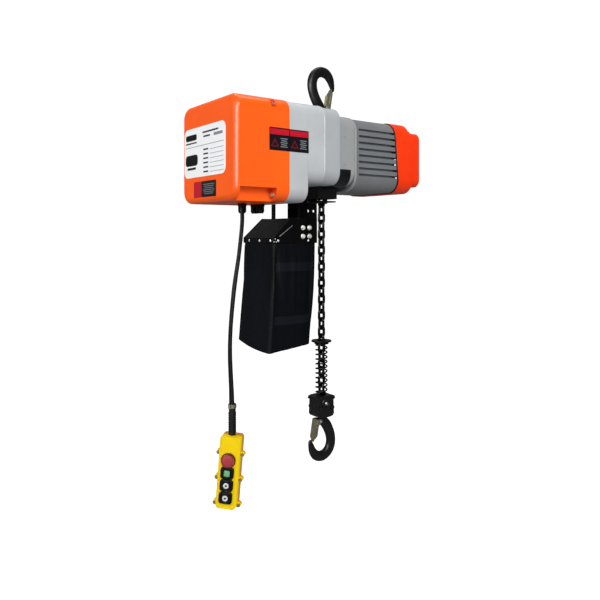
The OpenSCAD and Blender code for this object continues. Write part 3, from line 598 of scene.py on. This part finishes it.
def hook_shape():
    """The forged bend: an oval section that swells at the crown and thins to the tip, with a nose."""
    path = smooth_path(HOOK_SPINE, 6)
    x, z, depth = path[-1]
    path += [(x + 0.4, z - 2.2, depth * 0.8), (x + 0.6, z - 3.4, depth * 0.4)]
    sides = 28
    rings = []
    for i, (x, z, depth) in enumerate(path):
        before = path[max(i - 1, 0)]
        after = path[min(i + 1, len(path) - 1)]
        along = Vector((after[0] - before[0], after[1] - before[1])).normalized()
        normal = Vector((-along.y, along.x))
        ring = []
        for j in range(sides):
            a = 2 * math.pi * j / sides
            c, s = math.cos(a), math.sin(a)
            out = math.copysign(abs(c) ** 0.86, c) * depth
            side = math.copysign(abs(s) ** 0.86, s) * depth * HOOK_FLATNESS
            ring.append(Vector((x + normal.x * out, side, z + normal.y * out)) * MM)
        rings.append(ring)
    lug = moved(turned([(4.6, -7), (5.5, -6.2), (5.5, 6.2), (4.6, 7)], 32),
                axis_matrix(LATCH_PIVOT, (0, -1, 0)))
    return merged([loft(rings), lug])


def latch_shape():
    """The pressed latch: a tongue with turned edges, and two cheeks round the lug."""
    sheet = 1.6
    front = 7.6
    half = [(10.8, -3), (10.8, 39), (9.6, 41.2), (6.6, 42), (6, 43.5), (6, 46), (4.4, 48)]
    outline = [(-y, z) for y, z in half] + [(y, z) for y, z in reversed(half)]
    tongue = [loft([[(front + t, y, z) for y, z in outline] for t in (0, sheet)])]
    for side in (-1, 1):
        rib = [(front + sheet, 12), (front + sheet, 38), (front - 1.5, 37), (front - 4, 33),
               (front - 4, 12)]
        cheek = [(front + sheet, -3), (front + sheet, 13), (4, 12), (1.5, 8), (0, 5), (-3.5, 3.5), (-5, 0),
                 (-3.5, -3.5), (0, -5)]
        y0 = side * 10 - 0.8
        for shape in (rib, cheek):
            tongue.append(loft([[(x, y0 + t, z) for x, z in shape] for t in (0, sheet)]))
    points, faces = merged(tongue)
    turn = Matrix.Translation(LATCH_PIVOT) @ Matrix.Rotation(math.radians(10), 4, "Y")
    return [turn @ (p * MM) for p in points], faces


def pin_shape():
    """The latch's rivet, with a rolled head at each end."""
    half = 12
    profile = [(1.2, -half), (3.2, -half + 0.4), (3.4, -half + 1.1), (2.0, -half + 1.2), (2.0, half - 1.2),
               (3.4, half - 1.1), (3.2, half - 0.4), (1.2, half)]
    return moved(turned(profile, 20), axis_matrix(LATCH_PIVOT, (0, -1, 0)))


def make_hooks(mats):
    low_seat = Matrix.Translation((0, 0, LOAD_SEAT_Z)) @ Matrix.Rotation(math.pi, 4, "Y")
    shanks = {"top": [(7, -130), (9, -129), (9, -98), (9, -86), (8.9, -83)],
              "load": [(8.9, -106), (9, -104), (12, -103.5), (12, -89.5), (9, -89), (9, -83)]}
    for prefix, body, place in (("top", "suspension", Matrix.Identity(4)), ("load", "load_hook", low_seat)):
        shapes = [hook_shape(), turned(shanks[prefix], 32)]
        piece(prefix + "_hook_forging", moved(merged(shapes), place), mats["forged"], body,
              50, replaces=(prefix + "_hook",))
        latch_body = prefix + "_latch"
        piece(prefix + "_latch_sheet", moved(latch_shape(), place), mats["latch"], latch_body,
              30, bevel=0.35 * MM, replaces=(prefix + "_latch",))
        piece(prefix + "_latch_rivet", moved(pin_shape(), place), mats["zinc"], body, 40,
              replaces=(prefix + "_latch_pin",))


# ---------------------------------------------------------------- stickers

STICKER = 0.3 * MM
PRINT = 0.2 * MM


def flat_mark(name, outline, height, place, material):
    return piece(name, moved(slab(outline, height), place), material, "hoist", 30)


def shifted(outline, x, y):
    return [(px + x, py + y) for px, py in outline]


def bars(rows):
    """Plain bars from (x, y, width, thickness) rows, standing on a sticker."""
    return merged([slab(shifted(round_outline(w, t, t * 0.3, 2), x, y), PRINT) for x, y, w, t in rows])


def printed(name, shape, place, material, angle=35):
    return piece(name, moved(shape, place), material, "hoist", angle)


def make_end_label(mats):
    """The white plate on the end face: ruled rows and plain blocks in place of its words."""
    low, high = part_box("control_cover")
    centre = Vector((low.x, 0.0438, -0.1895))
    place = axis_matrix(centre, (-1, 0, 0))
    w, h = 0.1865, 0.108
    plate = 0.4 * MM
    flat_mark("end_label", round_outline(w, h, 0.016, 8), plate, place, mats["label_white"])
    ink = Matrix.Translation((-plate, 0, 0)) @ place
    dark = [(-0.060, 0.034, 0.052, 0.013), (-0.060, 0.022, 0.052, 0.003), (0.028, 0.040, 0.070, 0.0035),
            (0.012, 0.031, 0.030, 0.0035), (-0.058, -0.016, 0.058, 0.024), (-0.058, -0.034, 0.040, 0.005)]
    grey = [(0.0, 0.013, 0.172, 0.0012), (0.062, 0.031, 0.038, 0.006)]
    for k in range(6):
        y = 0.003 - 0.0095 * k
        dark.append((0.008, y, 0.022, 0.0032))
        grey.append((0.056, y - 0.0014, 0.058, 0.0010))
    printed("end_label_blocks", bars(dark), ink, mats["label_black"])
    printed("end_label_rules", bars(grey), ink, mats["label_grey"])


def make_small_sticker(mats):
    """The small sticker low on the end face: a red field beside plain rules."""
    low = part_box("control_cover")[0]
    place = axis_matrix((low.x, 0.041, -0.271), (-1, 0, 0))
    w, h, corner = 0.100, 0.034, 0.002
    flat_mark("small_sticker", round_outline(w, h, corner, 3), STICKER, place, mats["label_navy"])
    ink = Matrix.Translation((-STICKER, 0, 0)) @ place
    red = slab(shifted(round_outline(0.036, h, corner, 3), -0.032, 0), PRINT)
    printed("small_sticker_red", red, ink, mats["label_red"])
    rows = [(0.018, 0.010 - 0.004 * k, 0.050 - 0.006 * (k % 3), 0.0013) for k in range(6)]
    printed("small_sticker_rules", bars(rows), ink, mats["label_grey"])


def triangle_mark(x, y, size):
    """A rounded warning triangle with an empty middle."""
    outer, inner = ([(x + r * math.cos(math.radians(a)), y + r * math.sin(math.radians(a)))
                     for a in (90, 210, 330)] for r in (size, size * 0.62))
    rings = [[(px, py, z) for px, py in ring] for ring, z in
             ((outer, 0), (outer, PRINT), (inner, PRINT), (inner, 0))]
    return loft(rings, closed=True)


def make_side_sticker(mats):
    """The two-part sticker across the joint between cover and gear case."""
    cover_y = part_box("control_cover")[0].y
    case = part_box("gear_case")[0]
    z = -0.1715
    half_w, half_h = 0.0505, 0.0235
    for name, x, y in (("left", case.x - half_w / 2, cover_y), ("right", case.x + half_w / 2, case.y)):
        place = axis_matrix((x, y, z), (0, -1, 0))
        flat_mark("side_sticker_" + name, round_outline(half_w, 2 * half_h, 0.0012, 3), STICKER, place,
                  mats["label_navy"])
        ink = Matrix.Translation((0, -STICKER, 0)) @ place
        header = slab(shifted(round_outline(half_w - 0.003, 0.012, 0.001, 2), 0, half_h - 0.0085), PRINT)
        printed("side_sticker_header_" + name, header, ink, mats["label_red"])
        printed("side_sticker_triangle_" + name, triangle_mark(-0.0115, -0.010, 0.0115), ink,
                mats["label_wine"], 20)
        rows = [(0.011, 0.0015 - 0.0042 * k, 0.018 - 0.004 * (k % 2), 0.0016) for k in range(5)]
        printed("side_sticker_rules_" + name, bars(rows), ink, mats["label_grey"])


# ---------------------------------------------------------------- pendant

PENDANT = (Matrix.Translation((-0.222, 0.03024, -0.8025)) @ Matrix.Rotation(math.radians(-44), 4, "Z")
           @ Matrix.Rotation(math.radians(4.4), 4, "Y"))
CONTROLS = [("estop_button", 49.5), ("start_button", 76), ("up_button", 102.5), ("down_button", 129.5)]


def on_face(depth):
    """Local +Z out of the pendant's face, level with a control."""
    return PENDANT @ axis_matrix((0, -19 * MM, -depth * MM), (0, -1, 0))


def ring_plate(outline, hole, height, edge=0.0):
    """A flat plate round a hole at its centre, with its outer top edge chamfered."""
    inner = [(hole * math.cos(math.atan2(y, x)), hole * math.sin(math.atan2(y, x))) for x, y in outline]
    s = 1 - edge / max(abs(x) for x, y in outline)
    rings = [[(x, y, 0) for x, y in outline], [(x, y, height - edge) for x, y in outline],
             [(x * s, y * s, height) for x, y in outline], [(x, y, height) for x, y in inner],
             [(x, y, 0) for x, y in inner]]
    return loft(rings, closed=True)


def make_controls(mats):
    """The round guards on the pendant's face, and the caps that press into them."""
    for name, depth in CONTROLS:
        place = on_face(depth)
        if name == "estop_button":
            collar = ring_plate(circle(16.2 * MM, 48), 14 * MM, 3 * MM, 0.8 * MM)
            piece("estop_collar", moved(collar, place), mats["dark_red"], "hoist", 40)
            cap = turned([(0.4, -6), (9, -6), (9, 4.5), (12.6, 5), (13.4, 6.2), (13.5, 8), (12.9, 9.6),
                          (11, 10.7), (7, 11.3), (0.4, 11.5)])
            piece("estop_cap", moved(cap, place), mats["red"], name, 50, replaces=(name,))
            continue
        guard = ring_plate(round_outline(29 * MM, 25 * MM, 6 * MM, 8), 11.2 * MM, 5 * MM, 1.4 * MM)
        piece(name + "_guard", moved(guard, place), mats["black_plastic"], "hoist", 40)
        cap = turned([(0.4, -6), (10.9, -6), (10.9, 5.4), (10.2, 6.3), (8.6, 6.4), (7.6, 5.9), (0.4, 5.9)])
        piece(name + "_cap", moved(cap, place), mats["black_plastic"], name, 40,
              replaces=(name,))
        top = place @ Matrix.Translation((0, 0, 5.9 * MM))
        if name == "start_button":
            mark = slab(round_outline(12.5 * MM, 12.5 * MM, 2.4 * MM), 1.1 * MM, 0.4 * MM)
            piece("start_mark", moved(mark, top), mats["green"], name, 40)
        else:
            mark = ring_plate(circle(6.1 * MM, 40), 2.3 * MM, 0.7 * MM, 0.2 * MM)
            piece(name + "_ring", moved(mark, top), mats["mark_white"], name, 40)


# ---------------------------------------------------------------- fixings

def dome(radius, height):
    """A rivet or button head standing on the local X-Y plane."""
    steps = [(math.cos(math.radians(a)), math.sin(math.radians(a))) for a in (0, 15, 30, 45, 60, 75, 88)]
    return turned([(radius, -0.4)] + [(radius * c + 0.01, height * t) for c, t in steps], 20)


def hex_bolt(across, height):
    """A hexagon head with a washer under it."""
    washer = turned([(across * 0.72, -0.3), (across * 0.72, 0.9), (across * 0.68, 1.1), (0.3, 1.1)], 28)
    corner = across / 2 / math.cos(math.radians(30)) * MM
    head = slab(circle(corner, 6), height * MM, 0.5 * MM)
    return merged([washer, moved(head, Matrix.Translation((0, 0, 1.1 * MM)))])


def make_bag_fixings(mats):
    """Rivets round the bag frame's rim and its bolts, near-white zinc with painted glints; the rolled bead
    on its sloping edge; and a pale line on the near face's crease, a painted highlight.
    """
    low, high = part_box("bag_frame")
    rim = low.z + 6 * MM
    rivets = []
    for y in (0.038, 0.084, 0.130):
        rivets.append(moved(dome(3.1, 1.7), axis_matrix((low.x, y, rim), (-1, 0, 0))))
    for x, z, r in ((0.014, 0, 3.0), (0.006, 4, 1.5), (0.003, -2.5, 1.4), (0.009, -3, 1.2),
                    (0.100, 0, 2.8)):
        rivets.append(moved(dome(r, r * 0.55), axis_matrix((low.x + x, low.y, rim + z * MM), (0, -1, 0))))
    for y in (0.050, 0.130):
        rivets.append(moved(dome(3.1, 1.7), axis_matrix((high.x, y, rim), (1, 0, 0))))
    for x in (-0.09, -0.055, -0.02):
        rivets.append(moved(dome(3.1, 1.7), axis_matrix((x, high.y, rim), (0, 1, 0))))
    # near-white heads: plated zinc with painted glints
    piece("bag_rivets", merged(rivets), mats["bright"], "hoist", 50)
    bolts = [moved(hex_bolt(8, 3.4), axis_matrix((x, low.y, z), (0, -1, 0)))
             for x in (-0.034, -0.015) for z in (-0.352, -0.372)]
    # the bolt heads take the same near-white zinc with painted glints
    piece("bag_frame_bolts", merged(bolts), mats["bright"], "hoist", 30)
    beads = []
    for y in (low.y + 0.4 * MM, high.y - 0.4 * MM):
        corners = [(low.x, y, low.z + 1 * MM), (low.x, y, low.z + 12 * MM), (-0.066, y, high.z),
                   (high.x, y, high.z)]
        ring = circle(1.1 * MM, 10)
        beads.append(sweep(corners, lambda i: ring))
    piece("bag_frame_beads", merged(beads), mats["sheet"], "hoist", 60)
    # A pale steel line along the near face's crease: a painted highlight on the fold's edge.
    start = Vector((-0.1005, low.y - 0.2 * MM, -0.3725))
    crease = [start, start + Vector((0.0365, 0, 0.0255))]
    line = circle(0.9 * MM, 10)
    piece("bag_frame_crease_highlight", sweep(crease, lambda i: line), mats["crease"], "hoist", 60)


BODY_Y = 30.24


def casing_band(x0, x1, w, h, r, cz, out, slant=0.0):
    """A band that stands out round a casing's outline from x0 to x1; slant leans it over its height."""
    rings = []
    for x, o in ((x0, -1), (x0, out - 0.5), (x0 + 0.5, out), (x1 - 0.5, out), (x1, out - 0.5), (x1, -1)):
        outline = round_outline(w + 2 * o, h + 2 * o, r + o, 8)
        rings.append([Vector((x - slant * z, BODY_Y + y, cz + z)) * MM for y, z in outline])
    return loft(rings, closed=True)


def make_casing_bands(mats):
    """The lip round the case at its lid, the rim at the motor, and a black band in the end cover's joint
    that is painted shadow.
    """
    lip = casing_band(-59, -54.4, 230, 173, 34, -170.5, 1.8)
    piece("case_lip", lip, mats["light_grey"], "hoist", 40)
    rim = casing_band(41.2, 47, 200, 168, 35, -182, 2)
    piece("motor_rim", rim, mats["neck_grey"], "hoist", 40)
    # A black rubber band in the joint between motor and end cover, standing in for the shadow line there:
    # painted shadow.
    joint_shadow_band = casing_band(172.8, 176.4, 200, 168, 35, -182, 1.3, 0.0892)
    piece("end_joint_shadow_band", joint_shadow_band, mats["rubber"], "hoist", 40)


def make_hoist_fixings(mats):
    """The two plugs on the near side of the frame's neck."""
    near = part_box("hoist_frame")[0].y
    plugs = [moved(dome(3.2, 1.6), axis_matrix((0.012, near, z), (0, -1, 0))) for z in (-0.1455, -0.208)]
    piece("neck_plugs", merged(plugs), mats["neck_grey"], "hoist", 50)


def make_block_details(mats):
    """The round boss with its pin on each side of the hook block."""
    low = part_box("block_front")[0]
    boss = turned([(12.6, -0.5), (12.6, 1.6), (11.6, 2.6), (9.2, 2.6), (8.4, 0.8), (4.6, 0.6),
                   (4.6, -0.5)])
    pin = turned([(3.9, -0.5), (3.9, 2.2), (3.2, 2.9), (0.3, 3.0)], 24)
    bosses, pins = [], []
    for y, out in ((low.y, (0, -1, 0)), (-low.y, (0, 1, 0))):
        place = axis_matrix((0, y, -0.7595), out)
        bosses.append(moved(boss, place))
        pins.append(moved(pin, place))
    piece("block_bosses", merged(bosses), mats["forged"], "hook_block", 40)
    piece("block_pin_ends", merged(pins), mats["zinc"], "hook_block", 40)


# ---------------------------------------------------------------- chain bag

def bag_ring(w, d, r, count):
    """Evenly spaced points round a rectangle with round corners, from the middle of its near side."""
    outline = round_outline(w, d, r, 10)
    start = min(range(len(outline)), key=lambda i: (round(outline[i][1], 6), abs(outline[i][0])))
    outline = outline[start:] + outline[:start]
    lengths = [0.0]
    for i in range(len(outline)):
        a, b = outline[i], outline[(i + 1) % len(outline)]
        lengths.append(lengths[-1] + math.hypot(b[0] - a[0], b[1] - a[1]))
    ring = []
    for k in range(count):
        target = lengths[-1] * k / count
        i = max(j for j in range(len(outline)) if lengths[j] <= target + 1e-12)
        a, b = outline[i], outline[(i + 1) % len(outline)]
        t = (target - lengths[i]) / max(lengths[i + 1] - lengths[i], 1e-9)
        ring.append((a[0] + (b[0] - a[0]) * t, a[1] + (b[1] - a[1]) * t))
    return ring


BAG_AROUND = 132
BAG_LEVELS = 62
BAG_LEAN = math.tan(math.radians(2.5))
BAG_BANDS = ((-432 * MM, -457 * MM), (-553 * MM, -578 * MM))
PINNED_DEPTH = 6 * MM
SETTLE_LIMIT = 6 * MM
SETTLE_FRAMES = 25


def make_bag(mats):
    """The sewn bag: a cloth tube pinned at its rim, closed by a sagging bottom, let down by simulation."""
    frame_low, frame_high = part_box("bag_frame")
    w = frame_high.x - frame_low.x - 3 * MM
    d = frame_high.y - frame_low.y - 3 * MM
    cx = (frame_low.x + frame_high.x) / 2
    cy = (frame_low.y + frame_high.y) / 2
    top = frame_low.z + 2 * MM
    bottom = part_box("chain_bag")[0].z + 2.5 * MM
    rings = []
    for k in range(BAG_LEVELS):
        t = k / (BAG_LEVELS - 1)
        belly = math.sin(math.pi * t)
        bulge = 1 + 0.014 * math.sin(math.pi * min(1, t * 1.05))
        ring = []
        for j, (x, y) in enumerate(bag_ring(w * bulge, d * bulge, 8 * MM, BAG_AROUND)):
            angle = 2 * math.pi * j / BAG_AROUND
            across, back = min(max(x / w + 0.5, 0), 1), min(max(y / d + 0.5, 0), 1)
            rise = (21 * back ** 2.3 + 13 * across ** 1.7) * MM * t ** 5
            z = top + (bottom - top) * t + rise
            fold = (0.5 * math.sin(5 * angle + 1.3 + t) + 0.2 * math.sin(9 * angle + 5 * t)) * belly * MM
            sag = (1 - across) * back * (2 + 11 * t) * MM
            r = math.hypot(x, y)
            tuck = (1 - across) * (1 - back) * (6 * t - 2) * MM
            ring.append(Vector((cx + x * (1 + fold / r) - BAG_LEAN * (top - z) - sag - tuck,
                                cy + y * (1 + fold / r) + 0.6 * sag, z)))
        rings.append(ring)
    last = rings[-1]
    centre = sum(last, Vector()) / BAG_AROUND
    for k in range(1, 13):
        s = 1 - k / 13
        rings.append([centre + (p - centre) * s - Vector((0, 0, 3 * MM * (1 - s * s))) for p in last])
    points, faces = loft(rings, caps=False)
    faces.append(tuple((len(rings) - 1) * BAG_AROUND + j for j in range(BAG_AROUND)))
    bag = piece("chain_bag_cloth", (points, faces), mats["cloth"], "hoist", 80,
                replaces=("chain_bag",))
    drape(bag, top)
    sewn = make_bag_sewing(mats, [v.co.copy() for v in bag.data.vertices])
    skin = bag.modifiers.new("cloth_thickness", "SOLIDIFY")
    skin.thickness = 1.4 * MM
    skin.offset = -1
    return bag


def make_bag_sewing(mats, points):
    """The piped seam down the near corner, and two webbing bands sewn across the near side."""
    rows = [points[k * BAG_AROUND:(k + 1) * BAG_AROUND] for k in range(BAG_LEVELS)]
    corner = min(range(BAG_AROUND), key=lambda j: rows[2][j].x + rows[2][j].y)
    far = max(range(BAG_AROUND), key=lambda j: rows[2][j].x - rows[2][j].y)
    pipe = circle(0.8 * MM, 10)
    seam = piece("chain_bag_seam", sweep([row[corner] for row in rows], lambda i: pipe), mats["cloth"],
                 "hoist", 60)
    step = 1 if (far - corner) % BAG_AROUND < BAG_AROUND / 2 else -1
    columns = [(corner + step * i) % BAG_AROUND for i in range(2, (step * (far - corner)) % BAG_AROUND - 1)]
    bands = []
    for high, low in BAG_BANDS:
        grid = [row for row in rows if low <= row[corner].z <= high]
        lift = Vector((0, -0.9 * MM, 0))
        bands.append(loft([[row[j] + lift for j in columns] + [row[j] - lift for j in reversed(columns)]
                           for row in grid]))
    band = piece("chain_bag_bands", merged(bands), mats["webbing"], "hoist", 60)
    return seam, band


def drape(bag, top):
    """Lets the cloth settle, pinned along its rim; each point stays within SETTLE_LIMIT of its place."""
    rest = [v.co.copy() for v in bag.data.vertices]
    pins = bag.vertex_groups.new(name="pins")
    for v in bag.data.vertices:
        depth = top - v.co.z
        pins.add([v.index], 1.0 if depth < PINNED_DEPTH else 0.0, "REPLACE")
    cloth = bag.modifiers.new("cloth", "CLOTH")
    settings = cloth.settings
    settings.vertex_group_mass = "pins"
    settings.quality = 6
    settings.mass = 0.25
    settings.tension_stiffness = 18
    settings.compression_stiffness = 18
    settings.shear_stiffness = 6
    settings.bending_stiffness = 1.2
    settings.shrink_min = -0.012
    settings.use_pressure = True
    settings.uniform_pressure_force = 0.25
    cloth.collision_settings.use_collision = False
    for number in range(1, SETTLE_FRAMES + 1):
        scene.frame_set(number)
    bpy.context.view_layer.update()
    settled = bag.evaluated_get(bpy.context.evaluated_depsgraph_get()).to_mesh()
    shapes = [v.co.copy() for v in settled.vertices]
    bag.modifiers.remove(cloth)
    for v, was, now in zip(bag.data.vertices, rest, shapes):
        step = now - was
        if step.length > SETTLE_LIMIT:
            step = step.normalized() * SETTLE_LIMIT
        v.co = was + step
    bag.data.update()
    scene.frame_set(1)


# ---------------------------------------------------------------- lights and floor

def make_stage():
    """A pale floor well under the hoist and a plain white studio, both bright only to the camera."""
    floor_z = cad_bounds[0][2] - 0.32
    size = 30
    mesh = bpy.data.meshes.new("floor")
    mesh.from_pydata([(-size, -size, floor_z), (size, -size, floor_z), (size, size, floor_z),
                      (-size, size, floor_z)], [], [(0, 1, 2, 3)])
    floor = bpy.data.objects.new("floor", mesh)
    scene.collection.objects.link(floor)
    pale = bpy.data.materials.new("pale_floor")
    pale.use_nodes = True
    shader = pale.node_tree.nodes["Principled BSDF"]
    shader.inputs["Base Color"].default_value = (0.3, 0.3, 0.3, 1)
    shader.inputs["Roughness"].default_value = 0.9
    shader.inputs["Emission Color"].default_value = (1, 1, 1, 1)
    seen = pale.node_tree.nodes.new("ShaderNodeLightPath")
    pale.node_tree.links.new(seen.outputs["Is Camera Ray"], shader.inputs["Emission Strength"])
    mesh.materials.append(pale)

    world = bpy.data.worlds.new("studio")
    world.use_nodes = True
    tree = world.node_tree
    background = tree.nodes["Background"]
    background.inputs["Color"].default_value = (1, 1, 1, 1)
    light_path = tree.nodes.new("ShaderNodeLightPath")
    strength = tree.nodes.new("ShaderNodeMapRange")
    strength.inputs["To Min"].default_value = 0.2
    strength.inputs["To Max"].default_value = 1.05
    tree.links.new(light_path.outputs["Is Camera Ray"], strength.inputs["Value"])
    tree.links.new(strength.outputs["Result"], background.inputs["Strength"])
    scene.world = world
    scene.view_settings.view_transform = "Standard"


def area_light(name, place, size, power, target=(0, 0, -0.35), colour=(1, 1, 1), shine=True, spread=True):
    """A light that can be left out of the shine on surfaces, or out of their even lighting."""
    data = bpy.data.lights.new(name, "AREA")
    data.shape = "RECTANGLE"
    data.size, data.size_y = size
    data.energy = power
    data.color = colour
    obj = bpy.data.objects.new(name, data)
    obj.location = place
    obj.rotation_euler = (Vector(target) - Vector(place)).to_track_quat("-Z", "Y").to_euler()
    obj.visible_glossy = shine
    obj.visible_diffuse = spread
    scene.collection.objects.link(obj)


def make_lights():
    area_light("key", (-1.1, -2.2, 0.9), (1.0, 1.0), 50)
    area_light("edge_strip", (-1.75, -0.92, 0.08), (1.7, 0.6), 66, target=(-0.28, -0.09, -0.2),
               colour=(1, 0.95, 0.88), spread=False)
    area_light("side", (-2.3, 0.9, 0.2), (1.0, 1.4), 34, shine=False)
    area_light("front", (1.1, -2.4, -0.1), (0.9, 1.5), 26, shine=False)
    area_light("top", (0.2, 0.3, 1.9), (1.6, 1.2), 26)


make_camera()
mats = make_materials()
make_cord("pendant_cable", CABLE_ROUTE, 9 * MM, mats["rubber"])
make_cord("support_wire", SUPPORT_ROUTE, 3 * MM, mats["rubber"])
paint_cad_nodes(mats)
make_load_chain(mats)
make_buffer_spring(mats)
make_hooks(mats)
make_end_label(mats)
make_small_sticker(mats)
make_side_sticker(mats)
make_controls(mats)
make_bag_fixings(mats)
make_casing_bands(mats)
make_hoist_fixings(mats)
make_block_details(mats)
make_bag(mats)
make_stage()
make_lights()
